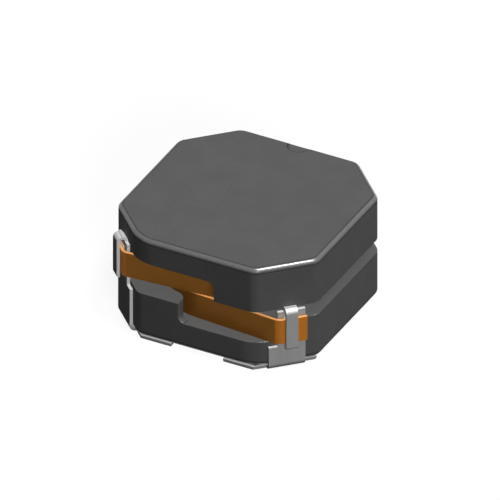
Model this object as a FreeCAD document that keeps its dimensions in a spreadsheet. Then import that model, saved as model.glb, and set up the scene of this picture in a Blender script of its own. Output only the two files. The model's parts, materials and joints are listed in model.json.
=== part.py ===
import FreeCAD, Part
import Sketcher
import math
import os

# A shielded surface-mount power inductor. Two identical ferrite half shells, octagonal in plan,
# meet on their round centre posts, so their rims stand apart by an open gap. A flat copper ribbon
# is wound on edge in two layers round the posts. Its two ends leave through a notch in the front
# wall of each half, bend along the two front corners and are hooked by formed sheet terminals.
# Frame: millimetres, +Z up, origin on the board plane under the middle, leads towards -Y.

doc = FreeCAD.newDocument("ShieldedInductor")
sizes = doc.addObject("Spreadsheet::Sheet", "Sizes")
UP = FreeCAD.Vector(0, 0, 1)
TOLERANCE = 0.001

# Driving sizes in millimetres, each written once
DRIVING = {
    # Ferrite half shell
    "body_width": 12.5,
    "corner_cut": 2.6,
    "base_thickness": 1.6,
    "wall_thickness": 0.83,
    "rim_gap": 0.8,
    "corner_round": 0.85,
    "lead_corner_round": 2.3,
    "edge_round": 0.3,
    "mark_radius": 0.6,
    "mark_inset": 0.2,
    "mark_depth": 0.1,
    # Notch in the front wall for the ribbon's end
    "notch_end": 1.1,
    "notch_clearance": 0.18,
    "notch_foot_round": 0.4,
    "notch_tip_round": 0.6,
    # Flat copper ribbon
    "ribbon_thickness": 0.2,
    "ribbon_width": 1.58,
    "layer_gap": 0.05,
    "turn_gap": 0.12,
    "turns_per_layer": 6,
    "coil_clearance": 0.04,
    "coil_headroom": 0.04,
    "post_clearance": 0.16,
    "crossover_angle": 90,
    "lead_flare": 4,
    "lead_bend_radius": 0.5,
    "lead_reach": 1.1,
    # Formed sheet terminals
    "sheet_thickness": 0.2,
    "sheet_bend": 0.2,
    "plate_half_width": 1.07,
    "back_past_bend": 0.2,
    "back_far": 1.04,
    "tongue_near": 0.2,
    "tongue_far": 0.51,
    "hook_rise": 0.36,
    "tongue_drop": 0.36,
    "right_shoulder_drop": 0.31,
    "left_shoulder_drop": 0.68,
    "pad_inset": 0.13,
    "pad_tip_inset": 0.2,
    "pad_length": 4.43,
    "pad_depth": 2.72,
    # Support pad under the back edge
    "back_pad_width": 5,
    "back_pad_depth": 1.8,
    # Bonds and solder
    "foot_bond": 0.04,
    "post_bond": 0.06,
    "solder_film": 0.08,
}

# Sizes worked out from the driving ones, as formulas of the same sheet
DERIVED = {
    "board": "0",
    # Plan of the body
    "half_width": "=body_width / 2",
    "side_end": "=half_width - corner_cut",
    "outside": "=half_width + 1",
    "chamfer_plane": "=(body_width - corner_cut) / sqrt(2)",
    "mark_place": "=half_width - mark_inset",
    # Room for the coil, between the outer walls and round the centre posts
    "window_radius": "=half_width - wall_thickness",
    "coil_radius": "=window_radius - coil_clearance",
    "turn_pitch": "=ribbon_thickness + turn_gap",
    "coil_inside": "=coil_radius - ribbon_thickness - turns_per_layer * turn_pitch",
    "post_radius": "=coil_inside - post_clearance",
    # Heights inside one half, from its outer face
    "coil_room": "=2 * ribbon_width + layer_gap + coil_headroom",
    "window_depth": "=(coil_room - rim_gap) / 2",
    "half_height": "=base_thickness + window_depth",
    "post_height": "=window_depth + (rim_gap - post_bond) / 2",
    # Heights of the assembly
    "core_bottom": "=sheet_thickness + foot_bond",
    "core_top": "=core_bottom + 2 * half_height + rim_gap",
    "window_floor": "=core_bottom + base_thickness",
    "post_top": "=window_floor + post_height",
    "right_lead_bottom": "=window_floor",
    "right_lead_top": "=right_lead_bottom + ribbon_width",
    "left_lead_bottom": "=right_lead_top + layer_gap",
    "left_lead_top": "=left_lead_bottom + ribbon_width",
    # Notch, with the round tip of the wall and the round foot at its end
    "notch_back": "=coil_radius - ribbon_thickness - notch_clearance",
    "notch_foot_end": "=notch_end - notch_foot_round",
    "notch_foot_top": "=base_thickness + notch_foot_round",
    "tip_middle_x": "=notch_end + notch_tip_round",
    "tip_middle_y": "=sqrt((window_radius + notch_tip_round)^2 - tip_middle_x^2)",
    "tip_x": "=tip_middle_x * window_radius / (window_radius + notch_tip_round)",
    "tip_y": "=tip_middle_y * window_radius / (window_radius + notch_tip_round)",
    "tip_land": "=half_width - tip_middle_y",
    # Section of the terminals, measured out from the body's axis and up from the board
    "hook_inside": "=(ribbon_thickness + solder_film) / 2",
    "plate_out": "=chamfer_plane + sheet_thickness",
    "ribbon_in": "=plate_out + solder_film",
    "ribbon_line": "=ribbon_in + ribbon_thickness / 2",
    "hook_middle": "=plate_out + hook_inside",
    "tongue_in": "=hook_middle + hook_inside",
    "tongue_out": "=tongue_in + sheet_thickness",
    "bend_start": "=chamfer_plane - sheet_bend",
    "bend_end": "=sheet_thickness + sheet_bend",
    "foot_inside": "=bend_start - sheet_thickness",
    "right_shoulder": "=right_lead_bottom - right_shoulder_drop",
    "right_hook": "=right_lead_top + hook_rise",
    "right_tongue_end": "=right_lead_bottom - tongue_drop",
    "left_shoulder": "=left_lead_bottom - left_shoulder_drop",
    "left_hook": "=left_lead_top + hook_rise",
    "left_tongue_end": "=left_lead_bottom - tongue_drop",
    # Where the ribbon bends along the corner, measured along the corner from its middle
    "run_line": "=coil_radius - ribbon_thickness / 2",
    "run_share": "=cos(lead_flare) - sin(lead_flare)",
    "corner_share": "=cos(lead_flare) + sin(lead_flare)",
    "bend_vertex": "=(run_line * sqrt(2) - ribbon_line * run_share) / corner_share",
    "bend_turn": "=45 + lead_flare",
    "bend_setback": "=lead_bend_radius * tan(bend_turn / 2)",
    "back_near": "=bend_vertex - bend_setback + back_past_bend",
    # Outline of a front pad, and of the bond film on it
    "pad_front": "=half_width - pad_inset",
    "pad_back_edge": "=pad_front - pad_depth",
    "pad_tip": "=half_width - pad_tip_inset",
    "pad_inner_end": "=pad_tip - pad_length",
    "pad_front_end": "=bend_start * sqrt(2) - pad_front",
    "pad_tip_start": "=bend_start * sqrt(2) - pad_tip",
    "bond_front": "=half_width - edge_round",
    "bond_front_end": "=(chamfer_plane - edge_round) * sqrt(2) - bond_front",
    # Back pad
    "back_pad_half": "=back_pad_width / 2",
    "back_pad_front": "=pad_front - back_pad_depth",
}


def fill_sheet(cells):
    """Write each cell's text beside its name, and give it that name as its alias."""
    for row, (alias, text) in enumerate(cells.items(), 1):
        sizes.set("A%d" % row, alias)
        sizes.set("B%d" % row, str(text))
        sizes.setAlias("B%d" % row, alias)
    doc.recompute()


fill_sheet(DRIVING | DERIVED)


def value(name):
    """A size by its alias; a leading minus turns its sign."""
    if name.startswith("-"):
        return -float(sizes.get(name[1:]))
    return float(sizes.get(name))


def link(name):
    """The expression that binds a property to that size."""
    if name.startswith("-"):
        return "-<<Sizes>>." + name[1:]
    return "<<Sizes>>." + name


def new_body(label):
    body = doc.addObject("PartDesign::Body", label)
    body.Label = label
    return body


def new_sketch(body, role, name, rotation=FreeCAD.Rotation()):
    """A sketch on one of the body's own origin planes, turned in place if asked."""
    plane = [feature for feature in body.Origin.OriginFeatures if feature.Role == role][0]
    sketch = body.newObject("Sketcher::SketchObject", name)
    sketch.AttachmentSupport = [(plane, "")]
    sketch.MapMode = "FlatFace"
    sketch.AttachmentOffset = FreeCAD.Placement(FreeCAD.Vector(0, 0, 0), rotation)
    return sketch


def shift(sketch, distance):
    """Move a sketch along its own normal."""
    sketch.setExpression("AttachmentOffset.Base.z", link(distance))
    doc.recompute()


def hold(sketch, kind, targets, name):
    """A dimension of the sketch, bound to a size."""
    sketch.addConstraint(Sketcher.Constraint(kind, *targets, value(name)))
    sketch.setExpression("Constraints[%d]" % (sketch.ConstraintCount - 1), link(name))


def add_arc(sketch, before, here, middle):
    """The short arc from one point to the next; a half circle goes over the top."""
    start_way = before - middle
    end_way = here - middle
    turning = start_way.cross(end_way).z
    if abs(turning) < TOLERANCE:
        turning = start_way.x
    first = math.atan2(start_way.y, start_way.x)
    last = math.atan2(end_way.y, end_way.x)
    forward = turning > 0
    if not forward:
        first, last = last, first
    circle = Part.Circle(middle, UP, end_way.Length)
    geometry = sketch.addGeometry(Part.ArcOfCircle(circle, first, last))
    return geometry, 1 if forward else 2, 2 if forward else 1


def outline(sketch, corners):
    """A closed outline. A corner (x, y, cx, cy) is reached by an arc about (cx, cy)."""
    points = [FreeCAD.Vector(value(corner[0]), value(corner[1]), 0) for corner in corners]
    sides = []
    for index, corner in enumerate(corners):
        before = points[index - 1]
        here = points[index]
        if len(corner) == 2:
            sides.append((sketch.addGeometry(Part.LineSegment(before, here)), 1, 2))
        else:
            middle = FreeCAD.Vector(value(corner[2]), value(corner[3]), 0)
            sides.append(add_arc(sketch, before, here, middle))
            hold(sketch, "DistanceY", (-1, 1, sides[-1][0], 3), corner[3])
    for index, corner in enumerate(corners):
        geometry, start, end = sides[index]
        following, next_start, next_end = sides[(index + 1) % len(corners)]
        sketch.addConstraint(Sketcher.Constraint("Coincident", geometry, end, following, next_start))
        hold(sketch, "DistanceX", (-1, 1, geometry, end), corner[0])
        hold(sketch, "DistanceY", (-1, 1, geometry, end), corner[1])


def disc(sketch, radius, height=None):
    """A circle at the origin, or up the sketch's vertical axis if a height is given."""
    middle = FreeCAD.Vector(0, value(height) if height else 0, 0)
    geometry = sketch.addGeometry(Part.Circle(middle, UP, value(radius)))
    if height:
        sketch.addConstraint(Sketcher.Constraint("PointOnObject", geometry, 3, -2))
        hold(sketch, "DistanceY", (-1, 1, geometry, 3), height)
    else:
        sketch.addConstraint(Sketcher.Constraint("Coincident", geometry, 3, -1, 1))
    hold(sketch, "Radius", (geometry,), radius)


def grow(body, sketch, name, length, back_length=None):
    """Pad a sketch along its normal, and the other way too if a second length is given."""
    pad = body.newObject("PartDesign::Pad", name)
    pad.Profile = sketch
    if back_length:
        pad.SideType = "Two sides"
        pad.setExpression("Length2", link(back_length))
    pad.setExpression("Length", link(length))
    doc.recompute()
    return pad


def cut(body, sketch, name, length, along_normal=False):
    """Pocket a sketch against its normal unless told otherwise, and check that it cuts."""
    before = body.Shape.Volume
    pocket = body.newObject("PartDesign::Pocket", name)
    pocket.Profile = sketch
    pocket.Reversed = along_normal
    pocket.setExpression("Length", link(length))
    doc.recompute()
    if body.Shape.Volume >= before:
        raise RuntimeError(name + " removes nothing")
    return pocket


def round_edges(body, base, name, radius, wanted):
    """Round the edges of a feature that the test picks."""
    picked = ["Edge%d" % number for number, edge in enumerate(base.Shape.Edges, 1) if wanted(edge)]
    fillet = body.newObject("PartDesign::Fillet", name)
    fillet.Base = (base, picked)
    fillet.setExpression("Radius", link(radius))
    doc.recompute()
    return fillet


def near(measure, name):
    return abs(measure - value(name)) < TOLERANCE


def is_upright(edge):
    box = edge.BoundBox
    return box.ZLength > TOLERANCE and box.XLength < TOLERANCE and box.YLength < TOLERANCE


def at_lead_corner(edge):
    place = edge.BoundBox.Center
    return is_upright(edge) and near(place.x, "side_end") and near(place.y, "-half_width")


def at_other_corner(edge):
    place = edge.BoundBox.Center
    inner = min(abs(place.x), abs(place.y))
    outer = max(abs(place.x), abs(place.y))
    return is_upright(edge) and near(inner, "side_end") and near(outer, "half_width")


def at_outer_face(edge):
    return edge.BoundBox.ZMax < TOLERANCE


# Ferrite half shell, drawn with its outer face down; the ribbon leaves at the front right
def half_shell(label, height, turn):
    body = new_body(label)
    plan = new_sketch(body, "XY_Plane", "Plan")
    outline(plan, [
        ("side_end", "-half_width"),
        ("half_width", "-side_end"),
        ("half_width", "side_end"),
        ("side_end", "half_width"),
        ("-side_end", "half_width"),
        ("-half_width", "side_end"),
        ("-half_width", "-side_end"),
        ("-side_end", "-half_width"),
    ])
    block = grow(body, plan, "Block", "half_height")
    wide = round_edges(body, block, "LeadCorner", "lead_corner_round", at_lead_corner)
    corners = round_edges(body, wide, "Corners", "corner_round", at_other_corner)
    round_edges(body, corners, "OuterEdge", "edge_round", at_outer_face)

    window = new_sketch(body, "XY_Plane", "Window")
    shift(window, "half_height")
    disc(window, "window_radius")
    cut(body, window, "WindowPocket", "window_depth")

    # Notch from the middle of the front wall out past its right corner; the wall's tip is round
    notch = new_sketch(body, "XY_Plane", "Notch")
    shift(notch, "half_height")
    outline(notch, [
        ("outside", "-outside"),
        ("outside", "-notch_back"),
        ("-tip_x", "-notch_back"),
        ("-tip_x", "-tip_y"),
        ("-notch_end", "-tip_middle_y", "-tip_middle_x", "-tip_middle_y"),
        ("-notch_end", "-outside"),
    ])
    cut(body, notch, "NotchPocket", "window_depth")

    foot = new_sketch(body, "XZ_Plane", "Foot")
    shift(foot, "tip_middle_y")
    outline(foot, [
        ("-notch_end", "base_thickness"),
        ("-notch_foot_end", "base_thickness"),
        ("-notch_end", "notch_foot_top", "-notch_foot_end", "notch_foot_top"),
    ])
    grow(body, foot, "NotchFoot", "tip_land")

    post = new_sketch(body, "XY_Plane", "Post")
    shift(post, "base_thickness")
    disc(post, "post_radius")
    grow(body, post, "CentrePost", "post_height")

    mark = new_sketch(body, "XY_Plane", "Mark")
    disc(mark, "mark_radius", "mark_place")
    cut(body, mark, "MarkPocket", "mark_depth", along_normal=True)

    body.Placement.Rotation = FreeCAD.Rotation(FreeCAD.Vector(0, 1, 0), turn)
    body.setExpression("Placement.Base.z", link(height))


# Bond between the two centre posts
def centre_bond(label):
    film = doc.addObject("Part::Cylinder", label)
    film.setExpression("Radius", link("post_radius"))
    film.setExpression("Height", link("post_bond"))
    film.setExpression("Placement.Base.z", link("post_top"))


def polar(radius, degrees, middle=FreeCAD.Vector(0, 0, 0)):
    angle = math.radians(degrees)
    return middle + FreeCAD.Vector(radius * math.cos(angle), radius * math.sin(angle), 0)


def line_edge(first, last):
    return Part.LineSegment(first, last).toShape()


def arc_edge(middle, radius, start, sweep):
    """An arc that starts at an angle and turns by a signed sweep, in degrees."""
    halfway = polar(radius, start + sweep / 2, middle)
    arc = Part.Arc(polar(radius, start, middle), halfway, polar(radius, start + sweep, middle))
    return arc.toShape()


# One layer of the ribbon in plan: its end along the corner, a bend, the straight run to the
# winding, and a spiral of half circles whose middles change sides by half the pitch
def layer_plan():
    half = value("ribbon_thickness") / 2
    pitch = value("turn_pitch")
    bend = value("lead_bend_radius")
    turn = value("bend_turn")
    outer_line = value("run_line")
    corner_line = value("ribbon_line")
    half_turns = 2 * int(value("turns_per_layer"))
    start_angle = -90 - value("lead_flare")
    last_sweep = 270 + start_angle - value("crossover_angle") / 2

    along = polar(1, 45)
    outwards = polar(1, -45)
    bend_middle = outwards * (corner_line - bend) - along * (value("bend_vertex") - value("bend_setback"))
    tip = outwards * corner_line + along * value("lead_reach")

    def face_line(offset):
        edges = [
            line_edge(tip + outwards * offset, polar(bend + offset, -45, bend_middle)),
            arc_edge(bend_middle, bend + offset, -45, -turn),
            line_edge(polar(bend + offset, -45 - turn, bend_middle),
                      polar(outer_line + offset, start_angle)),
        ]
        for index in range(half_turns + 1):
            radius = outer_line - index * pitch / 2 + offset
            middle = polar(pitch / 2, start_angle + 180) if index % 2 else FreeCAD.Vector(0, 0, 0)
            sweep = 180 if index < half_turns else last_sweep
            edges.append(arc_edge(middle, radius, start_angle - 180 * index, -sweep))
        return edges

    outer = face_line(half)
    inner = face_line(-half)
    caps = [
        line_edge(inner[0].Vertexes[0].Point, outer[0].Vertexes[0].Point),
        line_edge(inner[-1].Vertexes[-1].Point, outer[-1].Vertexes[-1].Point),
    ]
    loop = Part.sortEdges(outer + inner + caps)[0]
    inner_line = outer_line - half_turns * pitch / 2
    return Part.Face(Part.Wire(loop)), inner_line, start_angle - 180 * half_turns - last_sweep


# The innermost stretch, which climbs smoothly from the lower layer to the upper one
def crossover(line_radius, start_angle, low, high):
    steps = 6
    half = value("ribbon_thickness") / 2
    width = value("ribbon_width")

    def climbing_edge(radius, raised):
        points = []
        for step in range(steps + 1):
            share = step / steps
            climb = share * share * (3 - 2 * share)
            place = polar(radius, start_angle - value("crossover_angle") * share)
            points.append(place + UP * (low + (high - low) * climb + raised))
        curve = Part.BSplineCurve()
        curve.interpolate(points)
        return curve.toShape()

    rails = [
        climbing_edge(line_radius - half, 0),
        climbing_edge(line_radius + half, 0),
        climbing_edge(line_radius + half, width),
        climbing_edge(line_radius - half, width),
    ]
    faces = [Part.makeRuledSurface(rails[index - 1], rails[index]) for index in range(4)]
    for end in (0, -1):
        corners = [rail.Vertexes[end].Point for rail in rails]
        faces.append(Part.Face(Part.makePolygon(corners + corners[:1])))
    shell = Part.Shell(faces)
    shell.sewShape()
    solid = Part.Solid(shell)
    if solid.Volume < 0:
        solid.reverse()
    return solid


# Coil: one continuous ribbon, its upper layer being the lower one turned over
def flat_wire_coil(label):
    face, inner_line, end_angle = layer_plan()
    low = value("right_lead_bottom")
    high = value("left_lead_bottom")
    lower = face.extrude(UP * value("ribbon_width"))
    lower.translate(UP * low)
    upper = lower.copy()
    middle = (low + high + value("ribbon_width")) / 2
    upper.rotate(UP * middle, FreeCAD.Vector(0, 1, 0), 180)
    coil = doc.addObject("Part::Feature", label)
    coil.Shape = lower.fuse([crossover(inner_line, end_angle, low, high), upper])


def grow_section(body, side, name, corners, span_near, span_far):
    """Pad a section that stands square to a front corner, across a span of that corner."""
    facing = -45 if side == "right" else -135
    rotation = FreeCAD.Rotation(FreeCAD.Vector(0, 1, 0), facing)
    sketch = new_sketch(body, "XZ_Plane", name, rotation)
    outline(sketch, corners)
    spans = (span_near, span_far) if side == "right" else (span_far, span_near)
    grow(body, sketch, name + "Sheet", *spans)


def mirrored(side, corners):
    """Points of a plan drawn for the right side, for either side."""
    if side == "right":
        return corners
    return [("-" + x, y) for x, y in corners]


# Formed sheet terminal: pad under the corner, plate up the corner, hook over the ribbon's end
def terminal(label, side):
    body = new_body(label)
    shoulder = side + "_shoulder"
    hook = side + "_hook"
    tongue_end = side + "_tongue_end"
    pad = new_sketch(body, "XY_Plane", "Pad")
    outline(pad, mirrored(side, [
        ("pad_inner_end", "-pad_front"),
        ("pad_front_end", "-pad_front"),
        ("pad_tip", "-pad_tip_start"),
        ("pad_tip", "-pad_back_edge"),
        ("pad_inner_end", "-pad_back_edge"),
    ]))
    grow(body, pad, "PadSheet", "sheet_thickness")
    grow_section(body, side, "Plate", [
        ("foot_inside", "sheet_thickness"),
        ("foot_inside", "board"),
        ("bend_start", "board"),
        ("plate_out", "bend_end", "bend_start", "bend_end"),
        ("plate_out", shoulder),
        ("chamfer_plane", shoulder),
        ("chamfer_plane", "bend_end"),
        ("bend_start", "sheet_thickness", "bend_start", "bend_end"),
    ], "plate_half_width", "plate_half_width")
    grow_section(body, side, "Back", [
        ("chamfer_plane", "bend_end"),
        ("plate_out", "bend_end"),
        ("plate_out", hook),
        ("chamfer_plane", hook),
    ], "back_near", "back_far")
    grow_section(body, side, "Hook", [
        ("chamfer_plane", shoulder),
        ("plate_out", shoulder),
        ("plate_out", hook),
        ("tongue_in", hook, "hook_middle", hook),
        ("tongue_in", tongue_end),
        ("tongue_out", tongue_end),
        ("tongue_out", hook),
        ("chamfer_plane", hook, "hook_middle", hook),
    ], "tongue_near", "tongue_far")


# Solder between the back of the terminal and the ribbon's end
def solder_joint(label, side):
    grow_section(new_body(label), side, "Film", [
        ("plate_out", side + "_lead_bottom"),
        ("ribbon_in", side + "_lead_bottom"),
        ("ribbon_in", side + "_lead_top"),
        ("plate_out", side + "_lead_top"),
    ], "tongue_near", "tongue_far")


# A flat plate or film, drawn in plan
def flat_plate(label, corners, thickness, height):
    body = new_body(label)
    plan = new_sketch(body, "XY_Plane", "Plan")
    outline(plan, corners)
    grow(body, plan, "Plate", thickness)
    body.setExpression("Placement.Base.z", link(height))


def foot_film(label, side):
    flat_plate(label, mirrored(side, [
        ("pad_inner_end", "-bond_front"),
        ("bond_front_end", "-bond_front"),
        ("bond_front", "-bond_front_end"),
        ("bond_front", "-pad_back_edge"),
        ("pad_inner_end", "-pad_back_edge"),
    ]), "foot_bond", "sheet_thickness")


def back_plate(label, back_edge, thickness, height):
    flat_plate(label, [
        ("-back_pad_half", "back_pad_front"),
        ("back_pad_half", "back_pad_front"),
        ("back_pad_half", back_edge),
        ("-back_pad_half", back_edge),
    ], thickness, height)


half_shell("lower_core", "core_bottom", 0)
half_shell("upper_core", "core_top", 180)
centre_bond("post_bond_film")
flat_wire_coil("flat_wire_coil")
for side in ("left", "right"):
    terminal(side + "_terminal", side)
    solder_joint(side + "_solder_joint", side)
    foot_film(side + "_bond_film", side)
back_plate("back_support_pad", "pad_front", "sheet_thickness", "board")
back_plate("back_bond_film", "bond_front", "foot_bond", "sheet_thickness")
doc.recompute()

for item in doc.Objects:
    if "Invalid" in item.State or "Error" in item.State:
        raise RuntimeError(item.Label + " failed to build")

os.makedirs("parts", exist_ok=True)
for item in doc.Objects:
    is_piece = item.TypeId in ("PartDesign::Body", "Part::Cylinder", "Part::Feature")
    if not is_piece or item.getParentGeoFeatureGroup():
        continue
    if item.Shape.isNull() or not item.Shape.isValid():
        raise RuntimeError(item.Label + " has no valid shape")
    item.Shape.exportStep("parts/" + item.Label + ".step")
    print("%-20s volume %8.3f mm3, %d solid" % (item.Label, item.Shape.Volume, len(item.Shape.Solids)))
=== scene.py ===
# %% [markdown]
# # A shielded power inductor for a circuit board
#
# Two pressed ferrite shells close round a coil of flat copper ribbon. The ribbon's two ends come out
# at the front, bend along the front corners and are held by hooked terminals of tinned sheet. The
# solids are exact already, so this lesson gives them what a drawing lacks: edges broken by tumbling,
# drawn copper, rolled tin, sintered ferrite, and a light in which they can be told apart.

# %% Load the solids
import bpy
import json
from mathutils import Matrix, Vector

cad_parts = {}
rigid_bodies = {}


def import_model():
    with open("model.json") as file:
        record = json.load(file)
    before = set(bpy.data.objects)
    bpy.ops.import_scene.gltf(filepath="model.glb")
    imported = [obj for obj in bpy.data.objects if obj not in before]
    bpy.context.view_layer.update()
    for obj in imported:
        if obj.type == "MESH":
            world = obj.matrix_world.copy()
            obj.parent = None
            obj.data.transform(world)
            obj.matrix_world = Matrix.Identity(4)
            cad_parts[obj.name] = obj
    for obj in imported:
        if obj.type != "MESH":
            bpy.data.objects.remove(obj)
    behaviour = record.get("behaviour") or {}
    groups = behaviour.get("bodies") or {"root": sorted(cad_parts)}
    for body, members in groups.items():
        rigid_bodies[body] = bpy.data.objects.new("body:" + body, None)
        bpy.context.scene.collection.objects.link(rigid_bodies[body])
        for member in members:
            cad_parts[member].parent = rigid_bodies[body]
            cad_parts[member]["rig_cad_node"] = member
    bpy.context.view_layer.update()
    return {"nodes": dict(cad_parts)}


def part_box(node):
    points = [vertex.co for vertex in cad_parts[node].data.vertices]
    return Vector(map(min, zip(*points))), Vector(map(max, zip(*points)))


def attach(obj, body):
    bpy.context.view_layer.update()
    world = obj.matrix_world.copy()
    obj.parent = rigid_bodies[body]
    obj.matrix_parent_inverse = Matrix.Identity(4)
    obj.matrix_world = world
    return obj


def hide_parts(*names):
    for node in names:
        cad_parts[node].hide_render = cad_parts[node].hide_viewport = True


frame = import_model()
print("solids:", ", ".join(sorted(frame["nodes"])))

# %% The few tools used all through
import json
from math import cos, pi, radians, sin, sqrt

import bpy
from mathutils import Vector

MM = 0.001


def deselect():
    """Nothing selected, so that the next operator acts only on what it is given."""
    bpy.ops.object.select_all(action="DESELECT")


def hold(piece):
    """Select one piece alone and make it the active one."""
    deselect()
    piece.select_set(True)
    bpy.context.view_layer.objects.active = piece


def report(piece):
    """Print a piece's size and its count of faces."""
    size = [round(length / MM, 2) for length in piece.dimensions]
    print("%s: %s mm, %d faces" % (piece.name, size, len(piece.data.polygons)))


# %% [markdown]
# ## Broken edges
#
# No real edge is a knife edge. Ferrite is tumbled after firing, copper ribbon is rolled with round
# edges, and stamped sheet has a soft side and a burred one. Such an edge is only a few hundredths
# of a millimetre wide, yet it catches a line of light that tells the eye how big and how hard the
# thing is. It could be drawn with a bump, but then it would vanish from the outline. So each solid
# is copied, its loose triangles are joined, its flat faces are cleared of inner lines, and a bevel
# takes the edges off. The bevel takes only edges that carry a weight, so one small crescent, where
# it would fold over, can be spared. The copy then stands for the solid, which stays as it was behind
# it. Weighted normals let the large faces decide how the narrow ones are shaded. They weigh faces by
# area, and in metres the areas of such a small part round to nothing, so the mesh is a thousand
# times larger while that is worked out.

# %% A joined copy of a solid
FLAT = radians(0.4)
SAME_PLACE = 0.0002 * MM


def joined_copy(node_name, piece_name):
    """Copy a solid and turn its triangles into whole faces."""
    hold(frame["nodes"][node_name])
    bpy.ops.object.duplicate()
    piece = bpy.context.object
    piece.name = piece_name
    piece.data.name = piece_name
    del piece["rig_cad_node"]
    bpy.ops.object.mode_set(mode="EDIT")
    bpy.ops.mesh.select_all(action="SELECT")
    bpy.ops.mesh.remove_doubles(threshold=SAME_PLACE)
    bpy.ops.mesh.dissolve_limited(angle_limit=FLAT)
    bpy.ops.object.mode_set(mode="OBJECT")
    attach(piece, "root")
    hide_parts(node_name)
    return piece


# %% A mesh made larger for a while
def resize(piece, factor):
    """Make a mesh that many times larger about the origin. The object itself stays unscaled."""
    hold(piece)
    piece.scale = (factor, factor, factor)
    bpy.ops.object.transform_apply(location=False, rotation=False, scale=True)


# %% Choosing the edges
ROUND_STOPS = -5.775
ON_THE_SPOT = 0.002


def in_crescent(start, end):
    """Whether an edge, in millimetres, bounds the crescent where the notch's foot round stops."""
    return all(abs(point.y - ROUND_STOPS) < ON_THE_SPOT for point in (start, end))


def weigh_edges(piece, sharper_than):
    """Weigh for the bevel each edge that turns by more than an angle.

    The crescent is left out, because its tips taper to nothing and a bevel would fold over there.
    """
    bpy.ops.object.mode_set(mode="EDIT")
    bpy.ops.mesh.select_mode(type="EDGE")
    bpy.ops.mesh.select_all(action="DESELECT")
    bpy.ops.mesh.edges_select_sharp(sharpness=radians(sharper_than))
    bpy.ops.object.mode_set(mode="OBJECT")
    points = piece.data.vertices
    piece.data.attributes.new("bevel_weight_edge", "FLOAT", "EDGE")
    weights = piece.data.attributes["bevel_weight_edge"].data
    left_out = 0
    for edge in piece.data.edges:
        spared = in_crescent(*(points[index].co for index in edge.vertices))
        weights[edge.index].value = float(edge.select and not spared)
        left_out += edge.select and spared
    print("%s: %d sharp edges left out of the bevel" % (piece.name, left_out))


# %% A bevel, and normals that keep the flats flat
SHARP = 35


def break_edges(piece, width, sharper_than=SHARP):
    """Round the edges that turn by more than an angle in degrees, and shade them smoothly."""
    resize(piece, 1 / MM)
    weigh_edges(piece, sharper_than)
    bpy.ops.object.modifier_add(type="BEVEL")
    bevel = piece.modifiers[-1]
    bevel.width = width / MM
    bevel.segments = 2
    bevel.limit_method = "WEIGHT"
    bevel.use_clamp_overlap = False
    bpy.ops.object.modifier_apply(modifier=bevel.name)
    piece.data.attributes.remove(piece.data.attributes["bevel_weight_edge"])
    bpy.ops.object.shade_smooth_by_angle(angle=radians(sharper_than))
    bpy.ops.object.modifier_add(type="WEIGHTED_NORMAL")
    weighted = piece.modifiers[-1]
    weighted.keep_sharp = True
    bpy.ops.object.modifier_apply(modifier=weighted.name)
    resize(piece, MM)
    report(piece)


# %% Ferrite shells
TUMBLED = 0.035 * MM
lower_shell = joined_copy("lower_core", "lower_shell")
upper_shell = joined_copy("upper_core", "upper_shell")
for shell in (lower_shell, upper_shell):
    break_edges(shell, TUMBLED)

# %% Copper ribbon
ROLLED = 0.04 * MM
RIBBON_SHARP = 50
ribbon = joined_copy("flat_wire_coil", "ribbon_coil")
break_edges(ribbon, ROLLED, RIBBON_SHARP)

# %% The pad under the back edge
STAMPED = 0.03 * MM
back_pad = joined_copy("back_support_pad", "back_pad")
break_edges(back_pad, STAMPED)

# %% [markdown]
# ## Formed terminals
#
# Each terminal is one strip of tinned sheet, stamped flat and then bent: a pad to solder to the
# board, a plate up the corner of the body, and a tongue hooked over the ribbon's end. It could be
# carved from a block, but bending it here as the press does gives true round bends and one even
# thickness. The strip is drawn as a single skin, its bends are spun about their own axes, and
# Solidify gives it the thickness at the end. Both terminals come from the same steps, with their
# own heights, and the left one is mirrored.

# %% Directions and places on a terminal, outwards from the body
OUT = Vector((sqrt(0.5), -sqrt(0.5), 0))
ALONG = Vector((sqrt(0.5), sqrt(0.5), 0))
SHEET = 0.2 * MM
BODY_CORNER = max(OUT.dot(v.co) for v in frame["nodes"]["lower_core"].data.vertices)
FOOT_ROUND = 0.4 * MM
FOOT_BEND = BODY_CORNER - SHEET
PLATE = BODY_CORNER + SHEET
HOOK_ROOM = 0.28 * MM
HOOK_BEND = PLATE + HOOK_ROOM / 2
print("the body's corner stands %.3f mm from its axis" % (BODY_CORNER / MM))

# %% Its pad, and its places along the corner
PAD_MIDDLE = (3.835 * MM, -4.76 * MM, 0)
PAD_SIZE = (4.43 * MM, 2.72 * MM, 1)
PLATE_NEAR = -1.07 * MM
STEP_NEAR = -0.5525 * MM
HOOK_NEAR = -0.2 * MM
HOOK_FAR = 0.51 * MM
PLATE_FAR = 1.07 * MM
CUT_REACH = 0.1 * SAME_PLACE
print("the plate is %.2f mm wide" % ((PLATE_FAR - PLATE_NEAR) / MM))
print("its hook is %.2f mm wide" % ((HOOK_FAR - HOOK_NEAR) / MM))


def spot(out, height):
    """A point in front of the corner's middle."""
    return OUT * out + Vector((0, 0, height))


# %% Picking edges by place
CLOSE = 0.01 * MM


def pick_edges(piece, wanted):
    """Select in edit mode the edges for which a test on their middle holds."""
    bpy.ops.object.mode_set(mode="OBJECT")
    points = piece.data.vertices
    for vertex in points:
        vertex.select = False
    for face in piece.data.polygons:
        face.select = False
    for edge in piece.data.edges:
        ends = [points[index].co for index in edge.vertices]
        edge.select = wanted((ends[0] + ends[1]) / 2, ends[1] - ends[0])
    bpy.ops.object.mode_set(mode="EDIT")
    bpy.ops.mesh.select_mode(type="EDGE")


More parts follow.
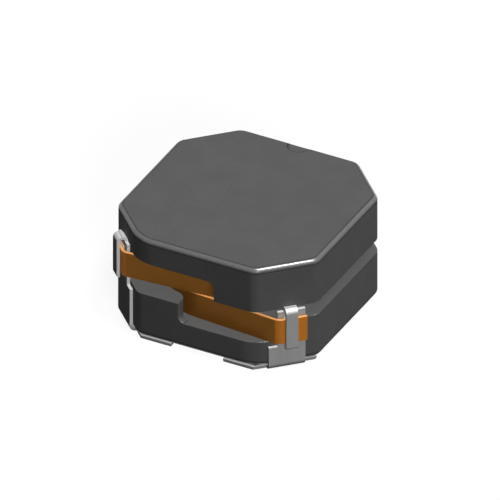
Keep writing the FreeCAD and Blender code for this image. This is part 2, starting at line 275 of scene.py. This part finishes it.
def level_edges(out, height, near, far):
    """A test for edges that run along the corner at one height, within a span."""
    def wanted(middle, way):
        runs_along = abs(way.normalized().dot(ALONG)) > 0.99
        in_span = near < ALONG.dot(middle) < far
        in_place = abs(OUT.dot(middle) - out) < CLOSE and abs(middle.z - height) < CLOSE
        return runs_along and in_span and in_place
    return wanted


# %% Two moves of the press
def rise_by(height):
    """Draw the skin on, straight up or down from the chosen edges."""
    bpy.ops.mesh.extrude_region_move(TRANSFORM_OT_translate={"value": (0, 0, height)})


def slit(along):
    """Cut the skin across, so that a narrower tongue can rise from it."""
    bpy.ops.mesh.select_all(action="SELECT")
    bpy.ops.mesh.bisect(plane_co=ALONG * along, plane_no=ALONG, threshold=CUT_REACH)


# %% One terminal, bent from its pad upwards
def bend_clip(name, shoulder, hook, tongue_end):
    """Bend a right-hand terminal; the heights are those of its steps above the board."""
    deselect()
    bpy.ops.mesh.primitive_plane_add(size=1, location=PAD_MIDDLE)
    piece = bpy.context.object
    piece.name = name
    piece.data.name = name
    piece.scale = PAD_SIZE
    bpy.ops.object.transform_apply(location=True, rotation=False, scale=True)
    bpy.ops.object.mode_set(mode="EDIT")
    bpy.ops.mesh.select_all(action="SELECT")
    bpy.ops.mesh.bisect(plane_co=OUT * FOOT_BEND, plane_no=OUT, threshold=CUT_REACH,
                        clear_outer=True)
    for along in (PLATE_NEAR, STEP_NEAR, HOOK_NEAR, HOOK_FAR, PLATE_FAR):
        slit(along)

    pick_edges(piece, level_edges(FOOT_BEND, 0, PLATE_NEAR, PLATE_FAR))
    bpy.ops.mesh.spin(steps=6, angle=pi / 2, center=spot(FOOT_BEND, FOOT_ROUND), axis=ALONG)
    rise_by(shoulder - FOOT_ROUND)
    pick_edges(piece, level_edges(PLATE, shoulder, STEP_NEAR, PLATE_FAR))
    rise_by(hook - shoulder)
    pick_edges(piece, level_edges(PLATE, hook, HOOK_NEAR, HOOK_FAR))
    bpy.ops.mesh.spin(steps=12, angle=-pi, center=spot(HOOK_BEND, hook), axis=ALONG)
    rise_by(tongue_end - hook)
    return piece


# %% Thickness, and the mirrored left side
def thicken(piece, mirrored):
    """Merge the skin, turn it the right way out and give it the sheet's thickness."""
    bpy.ops.mesh.select_all(action="SELECT")
    bpy.ops.mesh.remove_doubles(threshold=SAME_PLACE)
    bpy.ops.mesh.dissolve_limited(angle_limit=FLAT)
    bpy.ops.object.mode_set(mode="OBJECT")
    if mirrored:
        piece.scale.x = -1
        bpy.ops.object.transform_apply(location=False, rotation=False, scale=True)
    bpy.ops.object.mode_set(mode="EDIT")
    bpy.ops.mesh.select_all(action="SELECT")
    bpy.ops.mesh.normals_make_consistent(inside=False)
    bpy.ops.object.mode_set(mode="OBJECT")
    pad = min(piece.data.polygons, key=lambda face: face.center.z)
    if pad.normal.z > 0:
        bpy.ops.object.mode_set(mode="EDIT")
        bpy.ops.mesh.flip_normals()
        bpy.ops.object.mode_set(mode="OBJECT")
    for _ in ("sheet", "cut edge"):
        piece.data.materials.append(None)
    bpy.ops.object.modifier_add(type="SOLIDIFY")
    solidify = piece.modifiers[-1]
    solidify.thickness = SHEET
    solidify.offset = -1
    solidify.use_even_offset = True
    solidify.material_offset_rim = 1
    bpy.ops.object.modifier_apply(modifier=solidify.name)


# %% A coined tip
COINED = 0.12 * MM


def coin_tip(piece, tongue_end):
    """Press back the lower outer edge of the tongue."""
    outer_face = HOOK_BEND + HOOK_ROOM / 2 + SHEET

    def wanted(middle, _):
        out = (abs(middle.x) - middle.y) * sqrt(0.5)
        return abs(out - outer_face) < CLOSE and abs(middle.z - tongue_end) < CLOSE
    hold(piece)
    pick_edges(piece, wanted)
    bpy.ops.mesh.bevel(offset=COINED, segments=1, affect="EDGES")
    bpy.ops.object.mode_set(mode="OBJECT")


# %% The steps of a whole terminal
def make_clip(name, mirrored, shoulder, hook, tongue_end):
    """Bend a terminal, turn it into thick sheet and press its tip."""
    piece = bend_clip(name, shoulder, hook, tongue_end)
    thicken(piece, mirrored)
    coin_tip(piece, tongue_end)
    return piece


# %% Both terminals
right_clip = make_clip("right_clip", mirrored=False,
                       shoulder=1.53 * MM, hook=3.78 * MM, tongue_end=1.48 * MM)
left_clip = make_clip("left_clip", mirrored=True,
                      shoulder=2.79 * MM, hook=5.41 * MM, tongue_end=3.11 * MM)
for clip, node_name in ((left_clip, "left_terminal"), (right_clip, "right_terminal")):
    break_edges(clip, STAMPED)
    low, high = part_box(node_name)
    print("its solid:", [round(length / MM, 2) for length in high - low])
    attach(clip, "root")
    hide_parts(node_name)

# %% [markdown]
# ## A small language for materials
#
# A material in Blender is a net of nodes. Written out one node and one link at a time it hides what
# it works out, so two small helpers let it be written as sums: a `Wire` is one socket, with plain
# arithmetic on it, and a `Finish` makes all other nodes and holds the finished material. Distances
# are read from Object coordinates, in metres, so a pattern has its true size on every piece.


# %% One socket, with arithmetic
class Wire:
    """A socket of a material. Arithmetic on it adds the Math nodes that work it out."""

    def __init__(self, finish, socket):
        self.finish = finish
        self.socket = socket

    def worked(self, operation, *values):
        return self.finish.node("ShaderNodeMath", {"operation": operation}, *values)

    def __add__(self, other):
        return self.worked("ADD", self, other)

    def __sub__(self, other):
        return self.worked("SUBTRACT", self, other)

    def __rsub__(self, other):
        return self.worked("SUBTRACT", other, self)

    def __mul__(self, other):
        return self.worked("MULTIPLY", self, other)

    def __abs__(self):
        return self.worked("ABSOLUTE", self)

    __radd__ = __add__
    __rmul__ = __mul__

    def least(self, other):
        return self.worked("MINIMUM", self, other)

    def most(self, other):
        return self.worked("MAXIMUM", self, other)

    def rise(self, start, end):
        """0 below the start, 1 above the end, and a smooth rise between."""
        settings = {"interpolation_type": "SMOOTHSTEP"}
        return self.finish.node("ShaderNodeMapRange", settings, self, start, end)


# %% A net of nodes
class Net:
    """The nodes of one material or world, added one by one and wired as they come."""

    def __init__(self, tree):
        self.tree = tree
        self.tree.nodes.clear()

    def node(self, kind, settings=None, *values, output=None, **named):
        """Add a node: first its settings, then its sockets, in order or by name."""
        node = self.tree.nodes.new(kind)
        for setting, value in (settings or {}).items():
            setattr(node, setting, value)
        sockets = [socket for socket in node.inputs if socket.enabled]
        for socket, value in zip(sockets, values):
            self.feed(socket, value)
        for name, value in named.items():
            found = [socket for socket in sockets if socket.name == name.replace("_", " ")]
            self.feed(found[0], value)
        results = [socket for socket in node.outputs if socket.enabled]
        if output:
            results = [socket for socket in results if socket.name == output]
        return Wire(self, results[0]) if results else None

    def feed(self, socket, value):
        if isinstance(value, Wire):
            self.tree.links.new(value.socket, socket)
        else:
            socket.default_value = value

    def blend(self, share, first, second):
        """A colour between two others."""
        return self.node("ShaderNodeMix", {"data_type": "RGBA"}, share, first, second)


def grey(level):
    return (level, level, level, 1)


def tint(red, green, blue):
    return (red, green, blue, 1)


# %% A finish for the object's own pieces
class Finish(Net):
    """A material that reads places on the piece and ends in one shader."""

    def __init__(self, name):
        self.material = bpy.data.materials.new(name)
        self.material.use_nodes = True
        super().__init__(self.material.node_tree)
        self.place = self.node("ShaderNodeTexCoord", output="Object")
        facing = self.node("ShaderNodeNewGeometry", output="Normal")
        self.slope = abs(self.node("ShaderNodeSeparateXYZ", None, facing, output="Z"))

    def across(self, axis):
        """How far the place is from the middle along one axis, in millimetres."""
        return self.node("ShaderNodeSeparateXYZ", None, self.place, output=axis) * (1 / MM)

    def cloud(self, size, detail=2, where=None):
        """Soft noise from 0 to 1, whose lumps are about that size."""
        return self.node("ShaderNodeTexNoise", None, Vector=where or self.place,
                         Scale=1 / size, Detail=detail)

    def stretched(self, x, y, z):
        """The place, with each direction packed closer by its own factor."""
        return self.node("ShaderNodeVectorMath", {"operation": "MULTIPLY"}, self.place, (x, y, z))

    def relief(self, height, depth):
        """A bump; a height of 1 stands for that depth."""
        return self.node("ShaderNodeBump", None, Height=height, Distance=depth)

    def surface(self, **sockets):
        shader = self.node("ShaderNodeBsdfPrincipled", None, **sockets)
        self.node("ShaderNodeOutputMaterial", None, shader)
        print("finish:", self.material.name, "with", len(self.tree.nodes), "nodes")

    def coat(self, *pieces):
        """Give the pieces this finish alone."""
        for piece in pieces:
            piece.data.materials.clear()
            piece.data.materials.append(self.material)


# %% [markdown]
# ## Sintered ferrite
#
# The shells are pressed from ferrite powder and fired into a dark grey ceramic, which is dull,
# faintly mottled and full of pores about a tenth of a millimetre wide. Tumbling polishes the rounds
# between the top and the sides, so they carry the only highlights, and a fine dark line stays at
# each end of a round, where the punch met the die. A painted picture could be wrapped round the
# shells, but all of this follows from where a place is and which way it faces. So it is worked out:
# `under` is the depth below the nearest outer face, and `slope` tells a top from a side.

# %% Where the rounds are polished
ferrite = Finish("sintered_ferrite")
shell_low, shell_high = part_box("lower_core")
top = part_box("upper_core")[1].z / MM
side = shell_high.x / MM
x, y, z = (ferrite.across(axis) for axis in "XYZ")
under_sides = (side - abs(x)).least(side - abs(y))
under_sides = under_sides.least(BODY_CORNER / MM - (abs(x) + abs(y)) * sqrt(0.5))
under_ends = (top - z).least(z - shell_low.z / MM)
under = under_sides.least(under_ends)
rounded = under.rise(0.01, 0.04) * (1 - under.rise(0.12, 0.2))
rounded *= ferrite.slope.rise(0.25, 0.45) * (1 - ferrite.slope.rise(0.95, 0.99))
print("the shells end at x = %.2f and z = %.2f mm" % (side, top))

# %% The lines at the ends of a round, and painted shade along the rim of the mark
EDGE_ROUND = 0.3
MARK_MIDDLE = Vector((0, 6.05, 0)) * MM
MARK_RADIUS = 0.6
round_starts = ferrite.slope.rise(0.95, 0.98) * (1 - ferrite.slope.rise(0.995, 0.9995))
round_starts *= 1 - under.rise(0.4, 0.45)
round_ends = 1 - abs(under_ends - EDGE_ROUND).rise(0.01, 0.05)
round_ends *= 1 - ferrite.slope.rise(0.2, 0.4)
from_mark = ferrite.node("ShaderNodeVectorMath", {"operation": "DISTANCE"},
                         ferrite.stretched(1, 1, 0), MARK_MIDDLE) * (1 / MM)
# The rim of the mark is painted dark: a painted shade where the recess meets the face.
mark_rim_shade = (1 - abs(from_mark - MARK_RADIUS).rise(0.03, 0.08)) * (1 - under_ends.rise(0.15, 0.2))
round_lines_and_rim_shade = (round_starts.most(round_ends) * 0.7).most(mark_rim_shade)
print("the mark is a half disc of radius %.1f mm at the back edge" % MARK_RADIUS)

# %% Ferrite
mottle = ferrite.cloud(1.6 * MM, 3).rise(0.3, 0.7)
grain = ferrite.cloud(0.08 * MM)
pits = ferrite.cloud(0.13 * MM, 1).rise(0.7, 0.78)
wear = ferrite.cloud(0.3 * MM).rise(0.2, 0.6)
polish = rounded * (0.75 + 0.25 * wear)
body = ferrite.blend(mottle, grey(0.09), grey(0.097))
pitted = ferrite.blend(pits, body, grey(0.065))
polished = ferrite.blend(polish, pitted, grey(0.12))
ferrite.surface(
    Base_Color=ferrite.blend(round_lines_and_rim_shade, polished, grey(0.03)),
    Metallic=0.12 * polish,
    Roughness=0.62 + 0.1 * grain - 0.2 * polish,
    Specular_IOR_Level=0.02,
    Coat_Weight=polish,
    Coat_Roughness=0.22,
    Normal=ferrite.relief(grain - 2 * pits, 0.003 * MM),
)
ferrite.coat(lower_shell, upper_shell)

# %% [markdown]
# ## Enamelled copper
#
# The ribbon is drawn flat through rollers, which leaves fine lines along it, and then covered with
# a thin amber enamel that takes the shine and the pink out of the copper. Its faces that look up or
# down and its rounded edges are painted much lighter: partly because the enamel is thinnest there,
# and partly as a painted highlight. Both ends are stripped to bare metal where the terminals hold
# them, because solder doesn't wet enamel. A metal with a coat would be the obvious choice, but here
# a mostly matt colour with a little metal in it comes closer, since the enamel scatters the light.

# %% Copper
ENAMEL_ENDS = 7.26
ALL_BARE = 7.38
DARK_ENAMEL = tint(0.22, 0.09, 0.014)
LIGHT_ENAMEL = tint(0.32, 0.127, 0.021)
STRIPPED = tint(0.5, 0.172, 0.02)
HIGHLIT_THIN_ENAMEL = tint(0.7, 0.33, 0.11)
copper = Finish("enamelled_copper")
drawn = copper.cloud(1 * MM, 2, copper.stretched(0.6, 0.6, 25))
patches = copper.cloud(1.5 * MM)
# Faces that look up or down are painted lighter: thinner enamel, and a painted highlight.
edge = copper.slope.rise(0.3, 0.8)
out = (abs(copper.across("X")) - copper.across("Y")) * sqrt(0.5)
bare = out.rise(ENAMEL_ENDS, ALL_BARE)
enamel = copper.blend(drawn * 0.7 + patches * 0.3, DARK_ENAMEL, LIGHT_ENAMEL)
flat = copper.blend(bare, enamel, STRIPPED)
copper.surface(
    Base_Color=copper.blend(edge, flat, HIGHLIT_THIN_ENAMEL),
    Metallic=0.18 - 0.06 * bare,
    Roughness=0.34 + 0.12 * drawn,
    Specular_IOR_Level=0.04,
    Normal=copper.relief(drawn, 0.003 * MM),
)
copper.coat(ribbon)

# %% [markdown]
# ## Tinned sheet and its cut edges
#
# The terminals are stamped from strip that is already tinned. Their faces are dull grey with faint
# lines from the rolling mill, and their hooks, burnished where the press drew them over, are painted
# much lighter: partly the burnish, and partly a painted highlight. Their cut edges are torn, clean
# metal that looks nearly white beside the tin, and they are painted darker towards the bottom, down
# at the pads. One material could tell the edges by their direction, but that fails on a hook that
# faces every way. So Solidify, which knows which faces it adds at the rim, gives those a slot of
# their own.

# %% Tin
tin = Finish("matte_tin")
rolling = tin.cloud(0.8 * MM, 2, tin.stretched(12, 12, 0.8))
cloudy = tin.cloud(0.5 * MM)
# The hooks' bends are painted lighter and shinier: burnished metal, and a painted highlight.
burnish_and_highlight = tin.slope.rise(0.25, 0.5) * (1 - tin.slope.rise(0.97, 0.997))
burnish_and_highlight *= tin.across("Z").rise(0.6, 0.9)
sheet = tin.blend(rolling * 0.6 + cloudy * 0.4, grey(0.33), grey(0.41))
tin.surface(
    Base_Color=tin.blend(burnish_and_highlight, sheet, grey(0.6)),
    Metallic=0.15 * burnish_and_highlight,
    Roughness=0.38 + 0.14 * rolling - 0.1 * burnish_and_highlight,
    Specular_IOR_Level=0.0,
    Normal=tin.relief(rolling, 0.003 * MM),
)
tin.coat(back_pad)

# %% Cut edges
cut = Finish("cut_edge")
tears = cut.cloud(0.3 * MM, 2, cut.stretched(6, 6, 1))
torn = cut.blend(tears, grey(0.52), grey(0.68))
# The cut edges are painted darker towards the bottom, from 0.6 mm down to 0.2 mm above the board.
darker_low = 1 - cut.across("Z").rise(0.2, 0.6)
cut.surface(
    Base_Color=cut.blend(darker_low * 0.7, torn, grey(0.14)),
    Roughness=0.5 + 0.2 * tears,
    Specular_IOR_Level=0.0,
    Normal=cut.relief(tears, 0.004 * MM),
)
for clip in (left_clip, right_clip):
    clip.data.materials[0] = tin.material
    clip.data.materials[1] = cut.material

# %% [markdown]
# ## Solder and epoxy
#
# A little solder fills the hook between the ribbon and the plate, and thin films of dark epoxy hold
# the posts together and the pads on the core. They are seen only in the gaps, so their solids have
# shape enough. They still get finishes of their own, because a lamp held close will find them:
# solder freezes with a smooth, lumpy skin, and cured epoxy is dark and slightly wavy.

# %% Solder
solder = Finish("smooth_solder")
lumps = solder.cloud(0.4 * MM, 2)
solder.surface(
    Base_Color=solder.blend(lumps, grey(0.5), grey(0.6)),
    Metallic=0.3,
    Roughness=0.2 + 0.1 * lumps,
    Normal=solder.relief(lumps, 0.01 * MM),
)

# %% Epoxy
epoxy = Finish("dark_epoxy")
ripple = epoxy.cloud(0.3 * MM, 2)
epoxy.surface(
    Base_Color=epoxy.blend(ripple, grey(0.02), grey(0.03)),
    Roughness=0.3 + 0.1 * ripple,
    Specular_IOR_Level=0.2,
    Normal=epoxy.relief(ripple, 0.01 * MM),
)
for name, node in frame["nodes"].items():
    if name.endswith("solder_joint"):
        solder.coat(node)
    if name.endswith("bond_film"):
        epoxy.coat(node)

# %% [markdown]
# ## Floor and world
#
# Parts like this are photographed on white, but a white floor throws so much light back up that
# dark ferrite turns grey. So the floor and the world have two answers. What the camera sees, straight
# or mirrored in metal, is white paper that still takes the part's shadow. What lights the part is
# nearly dark, which leaves that work to the lamps.

# %% A pale floor
def seen(net):
    """1 for what the camera sees, straight or in a shiny face; 0 for light that is scattered."""
    direct = net.node("ShaderNodeLightPath", output="Is Camera Ray")
    for kind in ("Is Glossy Ray", "Is Transmission Ray"):
        direct = direct.most(net.node("ShaderNodeLightPath", output=kind))
    return direct


bpy.ops.mesh.primitive_plane_add(size=0.6, location=(0, 0, 0))
floor = bpy.context.object
floor.name = "floor"
floor.data.materials.append(bpy.data.materials.new("pale_floor"))
floor.data.materials[0].use_nodes = True
paper = Net(floor.data.materials[0].node_tree)
glow = paper.node("ShaderNodeEmission", None, grey(0.35))
shaded = paper.node("ShaderNodeBsdfDiffuse", None, grey(0.6))
pale = paper.node("ShaderNodeAddShader", None, glow, shaded)
dull = paper.node("ShaderNodeBsdfDiffuse", None, grey(0.03))
mixed = paper.node("ShaderNodeMixShader", None, seen(paper), dull, pale)
paper.node("ShaderNodeOutputMaterial", None, mixed)
print("floor:", len(paper.tree.nodes), "nodes")

# %% A white world
bpy.context.scene.world = bpy.data.worlds.new("studio")
bpy.context.scene.world.use_nodes = True
sky = Net(bpy.context.scene.world.node_tree)
colour = sky.blend(seen(sky), grey(0.03), grey(1))
sky.node("ShaderNodeOutputWorld", None, sky.node("ShaderNodeBackground", None, colour))
print("world:", len(sky.tree.nodes), "nodes")

# %% [markdown]
# ## Lamps
#
# A key lamp from high on the right gives the top, the right side and the front three clear steps of
# grey, which is what makes the octagon readable. Most of it throws no shadow, as if a large white
# screen stood round the part, and so the ledges in the notch stay as light as they look in the
# photo. One more lamp, seen only in shiny faces, draws the highlight on the polished round. A fill
# lifts the front corner, and a lamp behind keeps the far sides from going black. Area lamps would
# do as well, but a distant lamp needs no distance or size, only a direction and a softness.


# %% Lamps
def add_lamp(name, toward, softness, shadow=True, gloss_only=False):
    """A distant lamp. The way toward it is as long as the light it gives a surface that faces it."""
    toward = Vector(toward)
    bpy.ops.object.light_add(type="SUN", location=toward.normalized() * 0.1)
    lamp = bpy.context.object
    lamp.name = name
    lamp.rotation_euler = toward.to_track_quat("Z", "Y").to_euler()
    lamp.data.energy = toward.length * pi
    lamp.data.angle = radians(softness)
    lamp.data.use_shadow = shadow
    lamp.visible_diffuse = not gloss_only
    print(name, "lamp:", round(toward.length, 2))


KEY = Vector((0.353, -0.051, 0.87))
SHADOWED = 0.12
add_lamp("key", KEY * SHADOWED, 14)
add_lamp("key_wash", KEY * (1 - SHADOWED), 14, shadow=False)
add_lamp("gloss", (0.635, -0.092, 1.26), 40, gloss_only=True)
add_lamp("fill", (0.17, -0.2, 0.1), 20)
add_lamp("back", (-0.158, 0.28, 0.14), 25, shadow=False)

# %% [markdown]
# ## Camera
#
# The photo is drawn in parallel: edges that are parallel on the part stay parallel in it. So the
# camera is orthographic, turned and raised by the two angles that the octagon's edges gave. Its aim
# is a point in the picture's own plane, to the right and up from the part's middle on the floor,
# and its width is that of the photo at the part's scale.

# %% Camera
TURN = radians(27.47)
RISE = radians(33.18)
VIEW_WIDTH = 27.64 * MM
AIM_RIGHT = 0.1133
AIM_UP = 2.785
STAND_BACK = 0.15
right = Vector((cos(TURN), sin(TURN), 0))
up = Vector((-sin(TURN) * sin(RISE), cos(TURN) * sin(RISE), cos(RISE)))
toward = right.cross(up)
aim = (right * AIM_RIGHT + up * AIM_UP) * MM
bpy.ops.object.camera_add(location=aim + toward * STAND_BACK)
camera = bpy.context.object
camera.rotation_euler = toward.to_track_quat("Z", "Y").to_euler()
camera.data.type = "ORTHO"
camera.data.ortho_scale = VIEW_WIDTH
camera.data.clip_start = 0.001
camera.data.clip_end = 2
bpy.context.scene.camera = camera
bpy.context.scene.view_settings.view_transform = "Standard"
print("the picture is %.2f mm wide" % (VIEW_WIDTH / MM))
